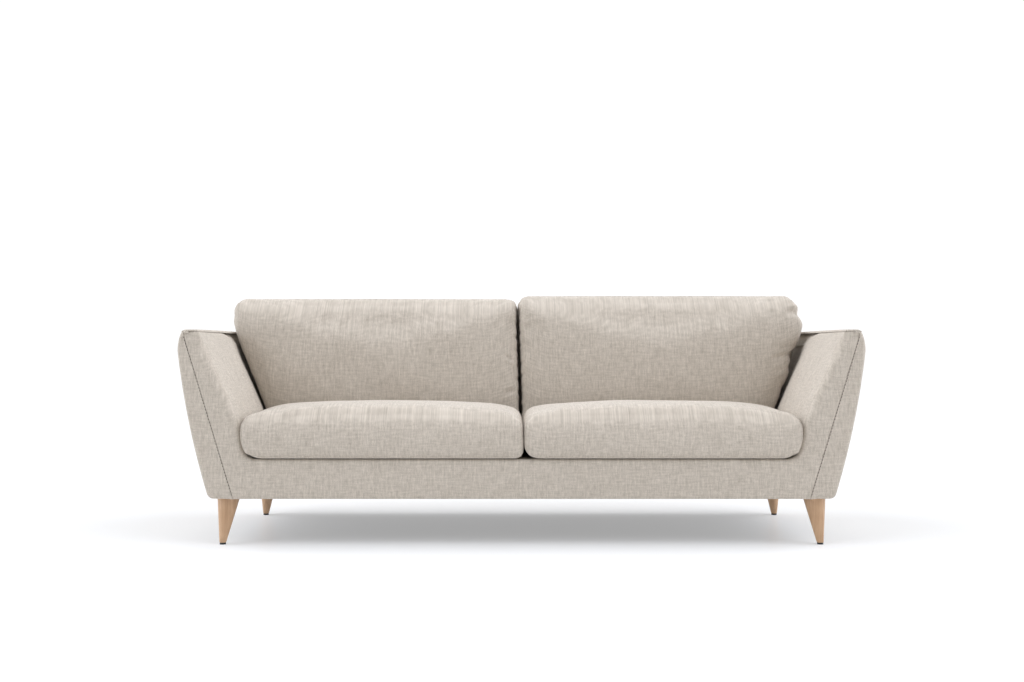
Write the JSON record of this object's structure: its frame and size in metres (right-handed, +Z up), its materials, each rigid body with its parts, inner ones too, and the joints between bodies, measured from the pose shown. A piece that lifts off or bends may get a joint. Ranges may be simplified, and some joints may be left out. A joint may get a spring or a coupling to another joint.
{
  "type": "sofa",
  "caption": "Upholstered sofa with flared padded arms, loose seat and back cushions and splayed round tapered wooden legs.",
  "frame": {"origin": "on the floor under the centre of the sofa's bounding box", "axes": "+Z up, +X towards the right end as seen from the front, the front faces -Y"},
  "size_m": [2.3058, 0.8999, 0.8564],
  "materials": {
    "upholstery": "matte",
    "foam": "matte",
    "lining": "matte",
    "webbing": "matte",
    "timber": "matte",
    "leg_wood": "satin",
    "glide": "satin",
    "steel": "satin",
    "zip_metal": "satin"
  },
  "bodies": {
    "frame": {"front_rail": "timber", "rear_rail": "timber", "side_rail_left": "timber", "side_rail_right": "timber", "centre_rail": "timber", "corner_block_front_left": "timber", "corner_block_front_right": "timber", "corner_block_rear_left": "timber", "corner_block_rear_right": "timber", "back_post_left": "timber", "back_post_centre": "timber", "back_post_right": "timber", "back_top_rail": "timber", "arm_front_post_left": "timber", "arm_front_post_right": "timber", "arm_top_rail_left": "timber", "arm_top_rail_right": "timber", "seat_spring_1": "steel", "seat_spring_2": "steel", "seat_spring_3": "steel", "seat_spring_4": "steel", "seat_spring_5": "steel", "seat_spring_6": "steel", "leg_bolt_front_left": "steel", "leg_bolt_front_right": "steel", "leg_bolt_rear_left": "steel", "leg_bolt_rear_right": "steel", "back_webbing_1": "webbing", "back_webbing_2": "webbing", "back_webbing_3": "webbing", "seat_deck": "lining", "dust_cover": "lining", "arm_inner_pad_left": "upholstery", "arm_inner_pad_right": "upholstery", "arm_outer_panel_left": "upholstery", "arm_outer_panel_right": "upholstery", "front_border": "upholstery", "back_inner_pad": "upholstery", "back_outer_panel": "upholstery", "leg_front_left": "leg_wood", "leg_front_right": "leg_wood", "leg_rear_left": "leg_wood", "leg_rear_right": "leg_wood", "glide_front_left": "glide", "glide_front_right": "glide", "glide_rear_left": "glide", "glide_rear_right": "glide"},
    "seat_cushion_left": {"seat_cushion_cover_left": "upholstery", "seat_cushion_core_left": "foam"},
    "seat_zip_slider_left": {"seat_cushion_zip_slider_left": "zip_metal"},
    "seat_cushion_right": {"seat_cushion_cover_right": "upholstery", "seat_cushion_core_right": "foam"},
    "seat_zip_slider_right": {"seat_cushion_zip_slider_right": "zip_metal"},
    "back_cushion_left": {"back_cushion_cover_left": "upholstery", "back_cushion_core_left": "foam"},
    "back_zip_slider_left": {"back_cushion_zip_slider_left": "zip_metal"},
    "back_cushion_right": {"back_cushion_cover_right": "upholstery", "back_cushion_core_right": "foam"},
    "back_zip_slider_right": {"back_cushion_zip_slider_right": "zip_metal"}
  },
  "joints": [
    {"name": "seat_cushion_left_lift", "type": "slide", "parent": "frame", "child": "seat_cushion_left", "axis": [0, -0.35, 0.9367], "range_m": [0, 0.4]},
    {"name": "seat_cushion_right_lift", "type": "slide", "parent": "frame", "child": "seat_cushion_right", "axis": [0, -0.35, 0.9367], "range_m": [0, 0.4]},
    {"name": "back_cushion_left_lift", "type": "slide", "parent": "frame", "child": "back_cushion_left", "axis": [0, 0.1984, 0.9801], "range_m": [0, 0.4]},
    {"name": "back_cushion_right_lift", "type": "slide", "parent": "frame", "child": "back_cushion_right", "axis": [0, 0.1984, 0.9801], "range_m": [0, 0.4]},
    {"name": "seat_zip_left_open", "type": "slide", "parent": "seat_cushion_left", "child": "seat_zip_slider_left", "axis": [1, 0, 0], "range_m": [0, 0.79]},
    {"name": "seat_zip_right_open", "type": "slide", "parent": "seat_cushion_right", "child": "seat_zip_slider_right", "axis": [-1, 0, 0], "range_m": [0, 0.79]},
    {"name": "back_zip_left_open", "type": "slide", "parent": "back_cushion_left", "child": "back_zip_slider_left", "axis": [1, 0, 0], "range_m": [0, 0.81]},
    {"name": "back_zip_right_open", "type": "slide", "parent": "back_cushion_right", "child": "back_zip_slider_right", "axis": [-1, 0, 0], "range_m": [0, 0.81]}
  ]
}
